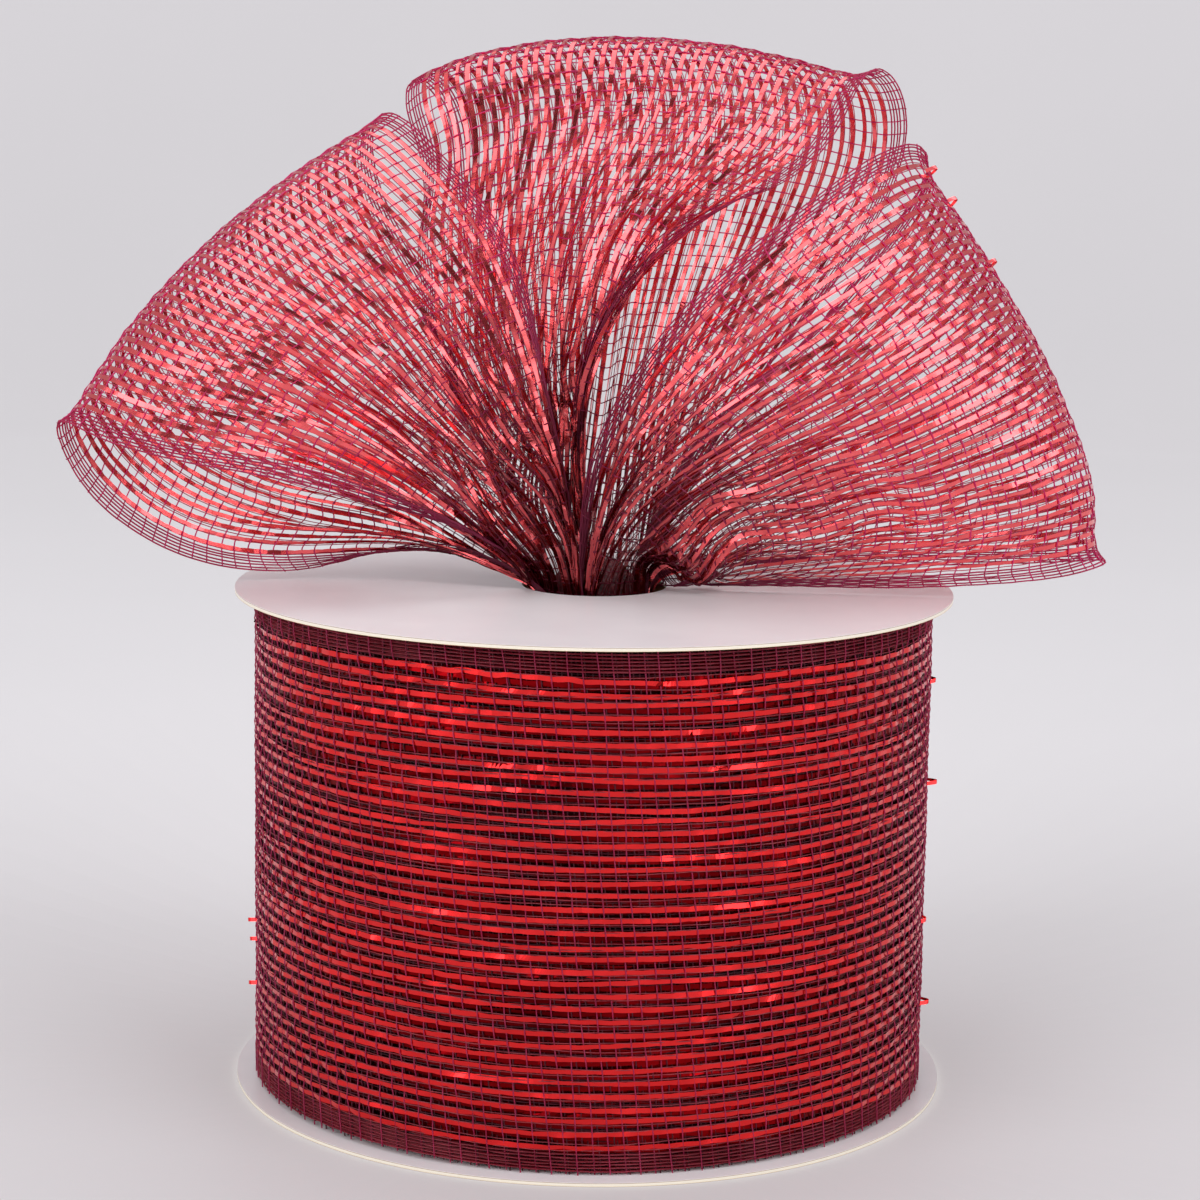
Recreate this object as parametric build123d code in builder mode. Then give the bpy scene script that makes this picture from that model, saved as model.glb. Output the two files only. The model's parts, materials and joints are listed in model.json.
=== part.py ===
from build123d import *
import os
from math import pi

# A flanged card spool of wide woven mesh ribbon, with a three-loop bow of the same ribbon tucked into its core.
# Millimetres. +Z is up, -Y is the front, and the origin is the centre of the bottom flange's underside.

# Driving dimensions of the spool
RIBBON_WIDTH = 100.0
FLANGE_GAP = 101.6
FLANGE_RADIUS = 74.0
BOARD = 0.8
HOLE_RADIUS = 15.0
CORE_BORE_RADIUS = 15.5
CORE_WALL = 2.0
WOUND_RADIUS = 69.9
MESH = 0.6
END_GAP = 0.2
GLUE_LEG = 0.9
TAPE = 0.1
TAPE_WIDTH = 18.0
START_TAPE_LENGTH = 30.0
END_TAPE_LENGTH = 26.0
TAIL_LAP_ANGLE = 24.0

# Driving dimensions of the bow
NECK_RADIUS = 14.5
WAIST_RADIUS = 11.0
WAIST_BELOW_FLANGE = 15.0
NECK_FOOT_BELOW_FLANGE = 34.0
NECK_FOOT_RADIUS = 11.5
NECK_CROWN = 15.0
NECK_CROWN_RADIUS = 5.0
TIE_HEIGHT = 3.6
TIE_THICKNESS = 0.8
TIE_TWIST_RADIUS = 1.1
TIE_TWIST_LENGTH = 12.0
TAIL_LENGTH = 26.0
TAIL_WIDTH = 20.0
TAIL_THICKNESS = 6.0
TAIL_GAP = 1.6
SEAT_CLEARANCE = 0.4
LOOP_MESH = 1.0
LOOP_ROOT_RADIUS = 3.0
LOOP_ROOT_HALF_WIDTH = 6.0
LOOP_FULL_WIDTH_AT = 0.72

# Heights worked out from them
INNER_FLOOR = BOARD
INNER_CEILING = BOARD + FLANGE_GAP
FLANGE_TOP = INNER_CEILING + BOARD
CORE_RADIUS = CORE_BORE_RADIUS + CORE_WALL
ROLL_RADIUS = WOUND_RADIUS - MESH
MID_HEIGHT = FLANGE_TOP / 2
BACK_ANGLE = 90.0

# Each loop: where it leaves the neck, the way it reaches out, the way its width runs, its reach and its opening.
LOOPS = {
    "left_loop": (Vector(-9, -3, 113), Vector(-0.745, -0.06, 0.64), Vector(-0.63, -0.47, -0.62), 92.0, 44.0),
    "right_loop": (Vector(9, -3, 111), Vector(0.88, 0.04, 0.47), Vector(0.46, 0.02, -0.88), 90.0, 42.0),
    "rear_loop": (Vector(4, 19, 113), Vector(0.03, 0.34, 0.94), Vector(1.0, 0.06, 0.06), 110.0, 36.0),
}

os.makedirs("parts", exist_ok=True)


def save(part: Part, name: str) -> None:
    """Labels a finished piece and writes it to its own file."""
    part.label = name
    export_step(part, f"parts/{name}.step")


# Flanges: two punched card discs, glued to the ends of the core
for name, floor in {"bottom_flange": 0.0, "top_flange": INNER_CEILING}.items():
    with BuildPart() as flange:
        with BuildSketch(Plane.XY.offset(floor)):
            Circle(FLANGE_RADIUS)
            Circle(HOLE_RADIUS, mode=Mode.SUBTRACT)
        extrude(amount=BOARD)
    save(flange.part, name)

# Core: a wound paper tube that stands between the flanges
with BuildPart() as core_tube:
    with BuildSketch(Plane.XY.offset(INNER_FLOOR)):
        Circle(CORE_RADIUS)
        Circle(CORE_BORE_RADIUS, mode=Mode.SUBTRACT)
    extrude(amount=FLANGE_GAP)
save(core_tube.part, "core_tube")

# Glue: a bead round each end of the core, in the corner with the flange
for name, corner, way in (("bottom_glue_bead", INNER_FLOOR, 1), ("top_glue_bead", INNER_CEILING, -1)):
    with BuildPart() as glue_bead:
        with BuildSketch(Plane.XZ):
            with BuildLine():
                Polyline(
                    (CORE_RADIUS, corner),
                    (CORE_RADIUS + GLUE_LEG, corner),
                    (CORE_RADIUS, corner + way * GLUE_LEG),
                    close=True,
                )
            make_face()
        revolve(axis=Axis.Z)
    save(glue_bead.part, name)


def curved_patch(inner: float, thickness: float, height: float, length: float, centre: float) -> Part:
    """Makes a patch that lies on a cylinder about Z, centred at an angle in degrees."""
    angle = length / inner * 180 / pi
    with BuildPart() as patch:
        with BuildSketch(Plane.XZ.rotated((0, 0, centre - angle / 2))):
            with Locations((inner + thickness / 2, MID_HEIGHT)):
                Rectangle(thickness, height)
        revolve(axis=Axis.Z, revolution_arc=angle)
    return patch.part


# Start tape: holds the ribbon's inner end to the core
start_tape = curved_patch(CORE_RADIUS, TAPE, TAPE_WIDTH, START_TAPE_LENGTH, BACK_ANGLE)
save(start_tape, "start_tape")

# Ribbon roll: all the inner turns as one wound body, clear of the glue and of the start tape
with BuildPart() as ribbon_roll:
    with BuildSketch(Plane.XZ):
        with BuildLine():
            Polyline(
                (CORE_RADIUS, INNER_FLOOR + END_GAP + GLUE_LEG),
                (CORE_RADIUS + END_GAP + GLUE_LEG, INNER_FLOOR + END_GAP),
                (ROLL_RADIUS, INNER_FLOOR + END_GAP),
                (ROLL_RADIUS, INNER_CEILING - END_GAP),
                (CORE_RADIUS + END_GAP + GLUE_LEG, INNER_CEILING - END_GAP),
                (CORE_RADIUS, INNER_CEILING - END_GAP - GLUE_LEG),
                close=True,
            )
        make_face()
    revolve(axis=Axis.Z)
    add(start_tape, mode=Mode.SUBTRACT)
save(ribbon_roll.part, "ribbon_roll")

# Outer turn: the last full turn of ribbon, which shows
with BuildPart() as outer_turn:
    with BuildSketch(Plane.XY.offset(MID_HEIGHT - RIBBON_WIDTH / 2)):
        Circle(WOUND_RADIUS)
        Circle(ROLL_RADIUS, mode=Mode.SUBTRACT)
    extrude(amount=RIBBON_WIDTH)
save(outer_turn.part, "outer_turn")

# Ribbon end: the last stretch of ribbon laps over the outer turn at the back, and a tape holds it
lap_length = WOUND_RADIUS * TAIL_LAP_ANGLE * pi / 180
ribbon_end = curved_patch(WOUND_RADIUS, MESH, RIBBON_WIDTH, lap_length, BACK_ANGLE)
save(ribbon_end, "ribbon_end")
end_tape = curved_patch(WOUND_RADIUS + MESH, TAPE, TAPE_WIDTH, END_TAPE_LENGTH, BACK_ANGLE + TAIL_LAP_ANGLE / 2)
save(end_tape, "end_tape")

# Neck: the gathered ribbon under the loops, pinched at the waist by the tie and flared where it fills the hole
neck_foot = FLANGE_TOP - NECK_FOOT_BELOW_FLANGE
waist = FLANGE_TOP - WAIST_BELOW_FLANGE
with BuildPart() as bow_neck:
    with BuildSketch(Plane.XZ):
        with BuildLine():
            flare = Spline(
                (NECK_FOOT_RADIUS, neck_foot),
                (WAIST_RADIUS, waist - TIE_HEIGHT / 2),
                tangents=((0, 1), (0, 1)),
            )
            belt = Line(flare @ 1, (WAIST_RADIUS, waist + TIE_HEIGHT / 2))
            shoulder = Spline(belt @ 1, (NECK_RADIUS, FLANGE_TOP - BOARD), tangents=((0, 1), (0, 1)))
            collar = Line(shoulder @ 1, (NECK_RADIUS, FLANGE_TOP + SEAT_CLEARANCE))
            crown = Spline(
                collar @ 1,
                (NECK_CROWN_RADIUS, FLANGE_TOP + NECK_CROWN),
                tangents=((0, 1), (-1, 0.4)),
            )
            Polyline(crown @ 1, (0, FLANGE_TOP + NECK_CROWN), (0, neck_foot), flare @ 0)
        make_face()
    revolve(axis=Axis.Z)
save(bow_neck.part, "bow_neck")

# Tie: a flat paper-covered wire wrapped round the waist, with its twisted ends lying down the neck's front
with BuildPart() as neck_tie:
    with BuildSketch(Plane.XY.offset(waist - TIE_HEIGHT / 2)):
        Circle(WAIST_RADIUS + TIE_THICKNESS)
        Circle(WAIST_RADIUS, mode=Mode.SUBTRACT)
    extrude(amount=TIE_HEIGHT)
save(neck_tie.part, "neck_tie")

twist_reach = WAIST_RADIUS + TIE_THICKNESS + TIE_TWIST_RADIUS
with BuildPart() as tie_twist:
    with BuildSketch(Plane.XY.offset(waist + TIE_HEIGHT / 2)):
        with Locations((0, -twist_reach)):
            Circle(TIE_TWIST_RADIUS)
    extrude(amount=-TIE_TWIST_LENGTH)
save(tie_twist.part, "tie_twist")

# Tails: the two cut ends of the bow's ribbon, crumpled side by side under the neck
for name, side in (("front_tail", -1), ("back_tail", 1)):
    with BuildPart() as tail:
        with BuildSketch(Plane.XY.offset(neck_foot)):
            with Locations((0, side * (TAIL_GAP + TAIL_THICKNESS) / 2)):
                RectangleRounded(TAIL_WIDTH, TAIL_THICKNESS, TAIL_THICKNESS / 3)
        extrude(amount=-TAIL_LENGTH)
    save(tail.part, name)

# Loops: each is one length of ribbon out from the neck and back, a flattened teardrop tube that is open at both
# selvedges, fans out from the neck to the ribbon's full width and stays just clear of the flange.
for name, (root, out, across, reach, opening) in LOOPS.items():
    side = Plane(origin=root, x_dir=out, z_dir=across)
    face = Plane(origin=root, x_dir=out, z_dir=side.y_dir)
    with BuildPart() as loop:
        with BuildSketch(side):
            Circle(LOOP_ROOT_RADIUS)
            with Locations((reach - opening / 2, 0)):
                Circle(opening / 2)
            make_hull()
            offset(amount=-LOOP_MESH, mode=Mode.SUBTRACT)
        extrude(amount=RIBBON_WIDTH / 2, both=True)
        with BuildSketch(face):
            with BuildLine():
                Polyline(
                    (-LOOP_ROOT_RADIUS, -LOOP_ROOT_HALF_WIDTH),
                    (reach * LOOP_FULL_WIDTH_AT, -RIBBON_WIDTH / 2),
                    (reach, -RIBBON_WIDTH / 2),
                    (reach, RIBBON_WIDTH / 2),
                    (reach * LOOP_FULL_WIDTH_AT, RIBBON_WIDTH / 2),
                    (-LOOP_ROOT_RADIUS, LOOP_ROOT_HALF_WIDTH),
                    close=True,
                )
            make_face()
        extrude(amount=opening, both=True, mode=Mode.INTERSECT)
        with BuildSketch(Plane.XY.offset(FLANGE_TOP + SEAT_CLEARANCE)):
            Circle(reach + RIBBON_WIDTH)
        extrude(amount=-RIBBON_WIDTH, mode=Mode.SUBTRACT)
    save(loop.part, name)
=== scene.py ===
"""Looks of a card spool of wide woven mesh ribbon, with a three-loop bow of the same ribbon in its core.

The CAD frame gives every place and size. The flanges, core, glue, tapes and tie keep their CAD shape and get
a finish here. The ribbon is woven here thread by thread, on the wound turns and on the loops of the bow.
"""

import json
import logging
import math
from dataclasses import dataclass, replace
from enum import Enum

import bpy
import numpy as np
from mathutils import Matrix, Vector

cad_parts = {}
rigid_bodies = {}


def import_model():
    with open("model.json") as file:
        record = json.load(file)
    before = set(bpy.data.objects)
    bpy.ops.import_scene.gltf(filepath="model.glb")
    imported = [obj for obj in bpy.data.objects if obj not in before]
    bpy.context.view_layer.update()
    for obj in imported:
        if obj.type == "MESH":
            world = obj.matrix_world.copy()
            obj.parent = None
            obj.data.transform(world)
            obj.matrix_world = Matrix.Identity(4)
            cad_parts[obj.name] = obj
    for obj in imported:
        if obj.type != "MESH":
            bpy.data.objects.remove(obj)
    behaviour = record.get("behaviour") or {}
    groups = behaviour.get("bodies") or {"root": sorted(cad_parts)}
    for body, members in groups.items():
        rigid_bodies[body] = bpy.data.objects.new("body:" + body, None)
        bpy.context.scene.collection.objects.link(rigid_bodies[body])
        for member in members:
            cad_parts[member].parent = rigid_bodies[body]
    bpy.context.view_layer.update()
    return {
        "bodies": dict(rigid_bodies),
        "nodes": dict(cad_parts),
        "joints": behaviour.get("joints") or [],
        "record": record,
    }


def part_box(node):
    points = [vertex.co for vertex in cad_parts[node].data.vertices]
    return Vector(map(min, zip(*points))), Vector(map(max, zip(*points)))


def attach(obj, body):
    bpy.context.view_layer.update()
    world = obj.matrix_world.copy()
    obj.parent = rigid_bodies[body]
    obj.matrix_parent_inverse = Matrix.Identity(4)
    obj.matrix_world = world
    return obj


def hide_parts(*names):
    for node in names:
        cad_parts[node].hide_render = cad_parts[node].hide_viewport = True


log = logging.getLogger("ribbon_spool")

Tree = bpy.types.NodeTree
Node = bpy.types.Node
Socket = bpy.types.NodeSocket
Material = bpy.types.Material
Piece = bpy.types.Object
Array = np.ndarray
Rng = np.random.Generator

MM = 0.001
FULL_TURN = 2 * math.pi
# The height of the bow's gather, and how far from it painted shade darkens the ribbon, in metres.
NECK_HEIGHT = 0.105
NECK_SHADE_NEAR, NECK_SHADE_FAR = 0.012, 0.068
# Pulled foils on the right loop's crest: the place along and across the ribbon, and the height, in mm.
CREST_SNAGS = ((143.0, 6.0, -2.2), (146.0, 13.0, -1.8), (142.0, 30.0, -1.6))


class Body(str, Enum):
    """The two bodies of the frame."""

    SPOOL = "spool"
    BOW = "bow"


def linear(colour: str) -> tuple[float, float, float, float]:
    """Turns an sRGB hex colour into linear RGBA."""
    channels = [int(colour[i : i + 2], 16) / 255 for i in (1, 3, 5)]
    steps = [c / 12.92 if c <= 0.04045 else ((c + 0.055) / 1.055) ** 2.4 for c in channels]
    return steps[0], steps[1], steps[2], 1.0


def add_node(
    tree: Tree, kind: str, inputs: dict | None = None, stops: tuple = (), **settings: object
) -> Node:
    """Adds a shader node with its settings and links.

    Args:
        tree: the node tree that takes it.
        kind: the node's Blender type.
        inputs: input name or number to a value, or to the output socket that feeds it.
        stops: for a colour ramp, its (position, hex colour) stops in order.
        settings: the node's own attributes.

    Returns:
        The new node.
    """
    node = tree.nodes.new(kind)
    for name, value in settings.items():
        setattr(node, name, value)
    for name, value in (inputs or {}).items():
        if isinstance(value, Socket):
            tree.links.new(value, node.inputs[name])
        else:
            node.inputs[name].default_value = value
    for index, (position, colour) in enumerate(stops):
        ramp = node.color_ramp.elements
        stop = ramp[index] if index < len(ramp) else ramp.new(position)
        stop.position = position
        stop.color = linear(colour)
    return node


def ramp(tree: Tree, value: Socket, stops: tuple) -> Socket:
    """Turns a value into a colour, by (position, hex colour) stops in order."""
    return add_node(tree, "ShaderNodeValToRGB", {"Fac": value}, stops).outputs["Color"]


def maths(tree: Tree, operation: str, first: Socket, second: Socket | float = 0.0) -> Socket:
    """Adds a sum of one or two values and gives its result."""
    return add_node(tree, "ShaderNodeMath", {0: first, 1: second}, operation=operation).outputs["Value"]


def blend(tree: Tree, share: Socket, low: Socket | tuple, high: Socket | tuple) -> Socket:
    """Mixes two colours and gives the mixed colour."""
    return add_node(tree, "ShaderNodeMix", {0: share, 6: low, 7: high}, data_type="RGBA").outputs[2]


@dataclass(frozen=True)
class Finish:
    """A surface finish: one Principled shader, with the detail that its kind adds."""

    name: str
    colour: str
    roughness: float
    metallic: float = 0.0
    coat: float = 0.0

    def make(self) -> Material:
        """Makes the material.

        Returns:
            The new material.
        """
        material = bpy.data.materials.new(self.name)
        material.use_nodes = True
        tree = material.node_tree
        shader = tree.nodes["Principled BSDF"]
        shader.inputs["Base Color"].default_value = linear(self.colour)
        shader.inputs["Roughness"].default_value = self.roughness
        shader.inputs["Metallic"].default_value = self.metallic
        shader.inputs["Coat Weight"].default_value = self.coat
        shader.inputs["Coat Roughness"].default_value = 0.12
        self.detail(tree, shader)
        return material

    def detail(self, tree: Tree, shader: Node) -> None:
        """Adds nothing by default."""

    def place(self, tree: Tree) -> Socket:
        """Gives the point of the surface in metres, as the object's own coordinates."""
        return add_node(tree, "ShaderNodeTexCoord").outputs["Object"]

    def noise(self, tree: Tree, size_mm: float, detail: float) -> Socket:
        """Gives soft patches of a size in millimetres, as a value from 0 to 1."""
        scale = 1 / (size_mm * MM)
        inputs = {"Vector": self.place(tree), "Scale": scale, "Detail": detail}
        return add_node(tree, "ShaderNodeTexNoise", inputs).outputs["Fac"]

    def mottle(self, tree: Tree, shader: Node, grain_mm: float, stops: tuple) -> Socket:
        """Colours the surface with soft patches, darkest stop first, and gives the patches."""
        patches = self.noise(tree, grain_mm, 3.0)
        tree.links.new(ramp(tree, patches, stops), shader.inputs["Base Color"])
        return patches

    def emboss(self, tree: Tree, shader: Node, height: Socket, depth_mm: float) -> None:
        """Raises the surface by a pattern from 0 to 1, whose highest point stands out by depth_mm."""
        inputs = {"Height": height, "Distance": depth_mm * MM, "Strength": 1.0}
        bump = add_node(tree, "ShaderNodeBump", inputs)
        tree.links.new(bump.outputs["Normal"], shader.inputs["Normal"])

    def paint_neck_shade(self, tree: Tree, socket: Socket, colour: str) -> None:
        """Paints shade into a colour towards the bow's neck, where the ribbon bunches together and would
        shade itself.

        Args:
            tree: the material's nodes.
            socket: the colour input to deepen.
            colour: the painted shade colour at the neck.
        """
        open_colour = socket.links[0].from_socket if socket.is_linked else tuple(socket.default_value)
        # Painted shade: the colour darkens within reach of the neck.
        ends = {0: self.place(tree), 1: (0, 0, NECK_HEIGHT)}
        away = add_node(tree, "ShaderNodeVectorMath", ends, operation="DISTANCE").outputs["Value"]
        reach = {"Value": away, "From Min": NECK_SHADE_NEAR, "From Max": NECK_SHADE_FAR}
        share = add_node(tree, "ShaderNodeMapRange", reach).outputs["Result"]
        tree.links.new(blend(tree, share, linear(colour), open_colour), socket)


@dataclass(frozen=True)
class SlitFoil(Finish):
    """Metallised polyester film, lacquered red and slit into strips.

    The metal under the lacquer mirrors the room in red, and the clear lacquer adds a white gloss on top.
    Fine creases from weaving break each mirror up.
    """

    deep: str = "#cc1216"
    crease_mm: float = 2.2
    crease_depth_mm: float = 0.02

    def detail(self, tree: Tree, shader: Node) -> None:
        """Varies the lacquer's depth of colour and creases the film."""
        self.mottle(tree, shader, 24.0, ((0.3, self.deep), (0.7, self.colour)))
        self.emboss(tree, shader, self.noise(tree, self.crease_mm, 1.0), self.crease_depth_mm)


@dataclass(frozen=True)
class GatheredFoil(SlitFoil):
    """The same foil in the bow, painted paler as a lit copy of the winding's foil.

    It is painted darker towards the neck, as shade where the strips bunch together.
    """

    # Painted shade colour at the neck.
    neck_shade: str = "#94101a"

    def detail(self, tree: Tree, shader: Node) -> None:
        """Varies the lacquer and paints shade into it near the neck."""
        super().detail(tree, shader)
        self.paint_neck_shade(tree, shader.inputs["Base Color"], self.neck_shade)


@dataclass(frozen=True)
class Monofilament(Finish):
    """Extruded nylon monofilament, dyed plum.

    It is smooth and a little glossy. It also lets light through, so it glows pink against a bright ground
    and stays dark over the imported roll.
    """

    dark: str = "#5a1030"
    light: str = "#a03060"
    glow: str = "#d02060"
    through: float = 0.5
    # Painted shade colour at the neck, if any.
    neck_shade: str = ""

    def detail(self, tree: Tree, shader: Node) -> None:
        """Varies the dye along the thread, lets light through it, and paints shade near the neck if a shade
        colour is given.
        """
        self.mottle(tree, shader, 9.0, ((0.35, self.dark), (0.65, self.light)))
        behind = add_node(tree, "ShaderNodeBsdfTranslucent", {"Color": linear(self.glow)})
        layers = {0: self.through, 1: shader.outputs["BSDF"], 2: behind.outputs["BSDF"]}
        both = add_node(tree, "ShaderNodeMixShader", layers)
        tree.links.new(both.outputs["Shader"], tree.nodes["Material Output"].inputs["Surface"])
        if self.neck_shade:
            self.paint_neck_shade(tree, shader.inputs["Base Color"], self.neck_shade)
            self.paint_neck_shade(tree, behind.inputs["Color"], self.neck_shade)


@dataclass(frozen=True)
class WoundMesh(Finish):
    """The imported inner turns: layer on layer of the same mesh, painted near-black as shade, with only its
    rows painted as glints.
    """

    row_mm: float = 2.4
    patch_mm: float = 4.0

    def detail(self, tree: Tree, shader: Node) -> None:
        """Draws broken dark red rows round the roll, one to each row of foil: the foil rows as painted glints
        on painted shade.
        """
        scale = 1 / (self.row_mm * MM) / 20 * math.pi
        inputs = {"Vector": self.place(tree), "Scale": scale, "Distortion": 2.5, "Detail": 2.0}
        rows = add_node(tree, "ShaderNodeTexWave", inputs, wave_type="BANDS", bands_direction="Z")
        broken = maths(tree, "MULTIPLY", rows.outputs["Fac"], self.noise(tree, self.patch_mm, 2.0))
        # Painted shade: near-black between rows, with the rows painted as dark red glints.
        colour = ramp(tree, broken, ((0.15, "#100004"), (0.34, "#2c0208"), (0.62, "#7c0c14")))
        tree.links.new(colour, shader.inputs["Base Color"])
        self.emboss(tree, shader, broken, 0.3)
        shader.inputs["Specular IOR Level"].default_value = 0.08


@dataclass(frozen=True)
class CoatedCard(Finish):
    """Clay-coated card, punched into discs.

    It is white and softly glossy, with a cream cut edge and darker ply lines.
    """

    board_mm: float = 0.8
    ply_mm: float = 0.1
    patch_mm: float = 18.0
    fibre_mm: float = 0.9

    def detail(self, tree: Tree, shader: Node) -> None:
        """Mottles the coating faintly, and shows the plies on the cut edge."""
        face = ramp(tree, self.noise(tree, self.patch_mm, 4.0), ((0.3, "#e5e0e3"), (0.7, "#ebe7e9")))
        height = add_node(tree, "ShaderNodeSeparateXYZ", {0: self.place(tree)}).outputs["Z"]
        through = maths(tree, "FLOORED_MODULO", height, self.board_mm * MM)
        ply = self.ply_mm / self.board_mm
        stops = (
            (0.0, "#b98a52"),
            (ply, "#efe6d2"),
            (1 - 2.2 * ply, "#f3ecdc"),
            (1 - 1.4 * ply, "#8f6a48"),
            (1 - 0.6 * ply, "#e9e4e0"),
        )
        edge = ramp(tree, maths(tree, "DIVIDE", through, self.board_mm * MM), stops)
        normal = add_node(tree, "ShaderNodeNewGeometry").outputs["Normal"]
        upright = add_node(tree, "ShaderNodeSeparateXYZ", {0: normal}).outputs["Z"]
        colour = blend(tree, maths(tree, "ABSOLUTE", upright), edge, face)
        tree.links.new(colour, shader.inputs["Base Color"])
        self.emboss(tree, shader, self.noise(tree, self.fibre_mm, 3.0), 0.006)


@dataclass(frozen=True)
class SpiralPaper(Finish):
    """Kraft paper wound in a spiral and glued into a tube: matt brown, with a seam line at each lap."""

    lap_mm: float = 45.0

    def detail(self, tree: Tree, shader: Node) -> None:
        """Mottles the pulp and draws the spiral seams."""
        pulp = self.mottle(tree, shader, 3.0, ((0.3, "#8d6a45"), (0.7, "#b08a5e")))
        inputs = {"Vector": self.place(tree), "Scale": 1 / (self.lap_mm * MM), "Distortion": 0.4}
        seam = add_node(tree, "ShaderNodeTexWave", inputs, bands_direction="DIAGONAL").outputs["Fac"]
        self.emboss(tree, shader, maths(tree, "MULTIPLY", seam, pulp), 0.08)


@dataclass(frozen=True)
class Mottled(Finish):
    """A plain moulded, dried or rolled surface: soft patches of two close shades, and a low grain."""

    dark: str = "#808080"
    light: str = "#909090"
    grain_mm: float = 2.0
    depth_mm: float = 0.05

    def detail(self, tree: Tree, shader: Node) -> None:
        """Adds the patches and the grain."""
        patches = self.mottle(tree, shader, self.grain_mm, ((0.3, self.dark), (0.7, self.light)))
        self.emboss(tree, shader, patches, self.depth_mm)


@dataclass(frozen=True)
class LitTable(Finish):
    """Opal acrylic sheet lit from behind: an even pale ground with faint shadows."""

    inner_light: float = 0.42

    def detail(self, tree: Tree, shader: Node) -> None:
        """Lights the sheet from behind."""
        self.mottle(tree, shader, 300.0, ((0.3, "#9b999c"), (0.7, "#9f9da0")))
        shader.inputs["Emission Color"].default_value = linear("#f6f3f6")
        shader.inputs["Emission Strength"].default_value = self.inner_light


@dataclass(frozen=True)
class ClearFilm(Finish):
    """Clear cellulose tape: a thin glossy film that shows what lies under it."""

    cover: float = 0.06

    def detail(self, tree: Tree, shader: Node) -> None:
        """Lets the film through and ripples it as pressed down by a thumb."""
        shader.inputs["Alpha"].default_value = self.cover
        self.emboss(tree, shader, self.noise(tree, 5.0, 1.0), 0.04)


class Finishes:
    """Every finish of the part, made once."""

    def __init__(self) -> None:
        """Makes the materials."""
        self.foil = SlitFoil(
            "lacquered_slit_foil", "#f01e20", 0.18, metallic=1.0, coat=0.5, deep="#e2161a"
        ).make()
        # The bow's set: lit copies of the winding's ribbon materials, painted lighter, each with a painted
        # shade colour towards the neck.
        self.lit_loose_foil = GatheredFoil(
            "lacquered_slit_foil_loose_painted_lit", "#ff6468", 0.24, metallic=1.0, coat=1.0, deep="#fc565c"
        ).make()
        self.lit_loose_weft = Monofilament(
            "plum_weft_monofilament_loose_painted_lit", "#d43c80", 0.3, dark="#c42c70", light="#dc4486", glow="#ff60ac",
            neck_shade="#70102c",
        ).make()
        self.lit_loose_warp = Monofilament(
            "plum_warp_monofilament_loose_painted_lit", "#b84c6c", 0.35, dark="#a83e5c", light="#c45878", glow="#ff6090",
            neck_shade="#681020",
        ).make()
        self.lit_loose_selvedge = Monofilament(
            "selvedge_yarn_loose_painted_lit", "#b03c68", 0.5, dark="#9c2c58", light="#b84474", glow="#ff5898",
            neck_shade="#701030",
        ).make()
        # The neck's heart is painted dark as the shade between the folds.
        self.heart = Mottled(
            "gathered_mesh_heart_painted_shade", "#3c0812", 0.5, dark="#24040c", light="#640e1c", grain_mm=1.2, depth_mm=0.5
        ).make()
        self.weft = Monofilament(
            "plum_weft_monofilament", "#98345a", 0.3, dark="#8e2e54", light="#a84068", glow="#ff5098"
        ).make()
        self.warp = Monofilament(
            "brown_plum_warp_monofilament", "#8a4048", 0.35, dark="#8a4048", light="#a85a60", glow="#f05080"
        ).make()
        self.selvedge = Monofilament(
            "selvedge_yarn", "#7c2830", 0.5, dark="#7a2c36", light="#984450", glow="#f04484"
        ).make()
        # Darker copies for the under turns: painted shade where the turns press together.
        self.shaded_under_foil = SlitFoil(
            "lacquered_slit_foil_painted_shade", "#90080e", 0.24, metallic=1.0, deep="#3c0206", crease_depth_mm=0.1
        ).make()
        self.shaded_under_thread = Monofilament(
            "plum_monofilament_painted_shade", "#4c1026", 0.5, dark="#3c0818", light="#60142c", through=0.2
        ).make()
        # The inner roll is painted near-black as shade, with painted glints along its rows.
        self.wound = WoundMesh("inner_turns_painted_shade", "#30040c", 0.5).make()
        self.card = CoatedCard("clay_coated_card", "#e8e4e6", 0.32).make()
        self.kraft = SpiralPaper("spiral_wound_kraft", "#9c7850", 0.8).make()
        self.glue = Mottled("dried_white_glue", "#e8e2cc", 0.4, dark="#ddd4b8", light="#efeada").make()
        self.tape = ClearFilm("clear_cellulose_tape", "#f4f2ea", 0.12).make()
        self.tie = Mottled(
            "crepe_paper_tie", "#6c1022", 0.7, dark="#5c0c1c", light="#7c182c", grain_mm=0.8, depth_mm=0.15
        ).make()
        self.sweep = LitTable("back_lit_acrylic_table", "#aaa8ab", 0.6).make()

    def woven(self) -> list[Material]:
        """Lists the ribbon's materials in the order of Thread."""
        return [self.foil, self.weft, self.warp, self.selvedge]

    def lit_loose_set(self) -> list[Material]:
        """Lists the same ribbon's materials in the bow, painted lighter as lit copies, with painted shade
        towards the neck.
        """
        return [self.lit_loose_foil, self.lit_loose_weft, self.lit_loose_warp, self.lit_loose_selvedge]

    def packed(self) -> list[Material]:
        """Lists the same ribbon's materials painted dark as shade, where turns press on each other and no
        light comes through.
        """
        return [self.shaded_under_foil, self.shaded_under_thread, self.shaded_under_thread, self.selvedge]


class Thread(int, Enum):
    """The kinds of thread in the ribbon, as material numbers."""

    FOIL = 0
    WEFT = 1
    WARP = 2
    SELVEDGE = 3


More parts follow.
